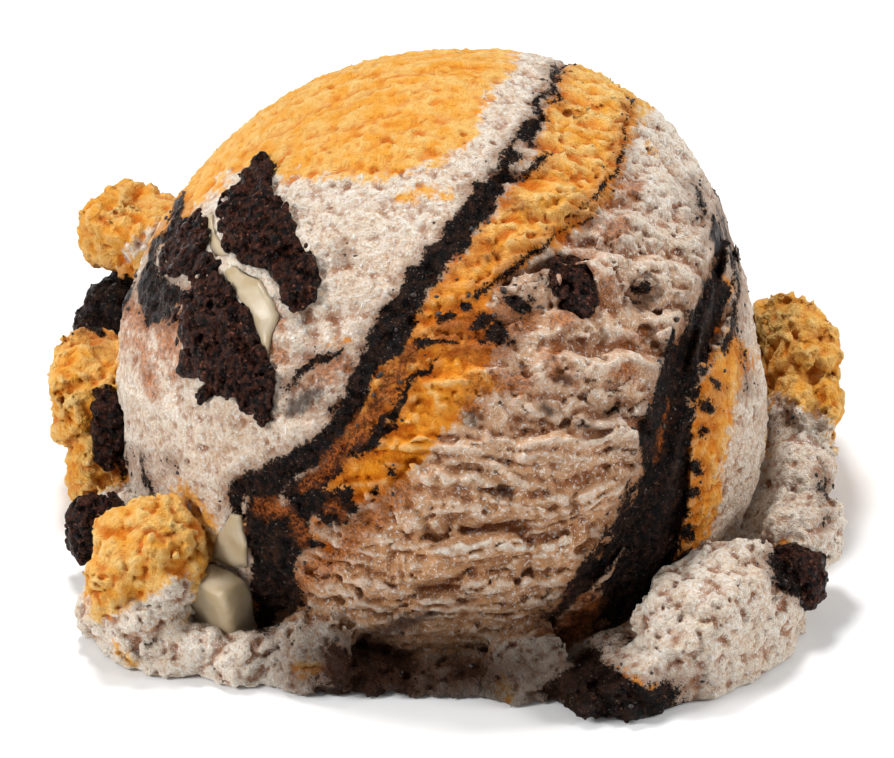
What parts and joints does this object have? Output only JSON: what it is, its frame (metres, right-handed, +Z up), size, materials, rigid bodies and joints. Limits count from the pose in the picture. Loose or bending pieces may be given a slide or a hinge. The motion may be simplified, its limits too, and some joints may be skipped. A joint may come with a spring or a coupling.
{
  "type": "scoop of ice cream",
  "caption": "Round scoop of swirled vanilla and orange ice cream on a ragged collar, with dark cookie ripples, brownie chunks and white chocolate chunks.",
  "frame": {"origin": "middle of the flat base, on the surface that the scoop stands on, under the centre of the ball", "axes": "+Z up, +X to the right and -Y towards the viewer as seen from the front, where the ripples cross the face"},
  "size_m": [0.0731, 0.0713, 0.0436],
  "materials": {
    "vanilla_ice_cream": "porous, torn, slightly moist frozen cream",
    "orange_ice_cream": "porous, torn, slightly moist frozen cream",
    "cookie_ripple": "moist dark cookie crumb paste",
    "brownie": "crumbly dark cake with glossy moist spots",
    "white_chocolate": "smooth waxy cut faces"
  },
  "bodies": {
    "root": {"vanilla_scoop": "vanilla_ice_cream", "orange_layer_top": "orange_ice_cream", "orange_layer_centre": "orange_ice_cream", "orange_layer_right": "orange_ice_cream", "orange_block_back_left": "orange_ice_cream", "orange_flap_left": "orange_ice_cream", "orange_lump_front_left": "orange_ice_cream", "orange_rim_right": "orange_ice_cream", "orange_lump_back": "orange_ice_cream", "cookie_ripple_centre": "cookie_ripple", "cookie_ripple_right": "cookie_ripple", "cookie_patch_left": "cookie_ripple", "cookie_lump_back_left": "cookie_ripple", "cookie_lump_front": "cookie_ripple", "cookie_rim_front": "cookie_ripple", "brownie_upper": "brownie", "brownie_lower": "brownie", "brownie_small": "brownie", "brownie_face": "brownie", "brownie_chip_left": "brownie", "brownie_slab_left": "brownie", "brownie_right": "brownie", "white_chunk_upper": "white_chocolate", "white_chunk_middle": "white_chocolate", "white_chunk_front": "white_chocolate", "white_chunk_base": "white_chocolate"}
  },
  "joints": []
}
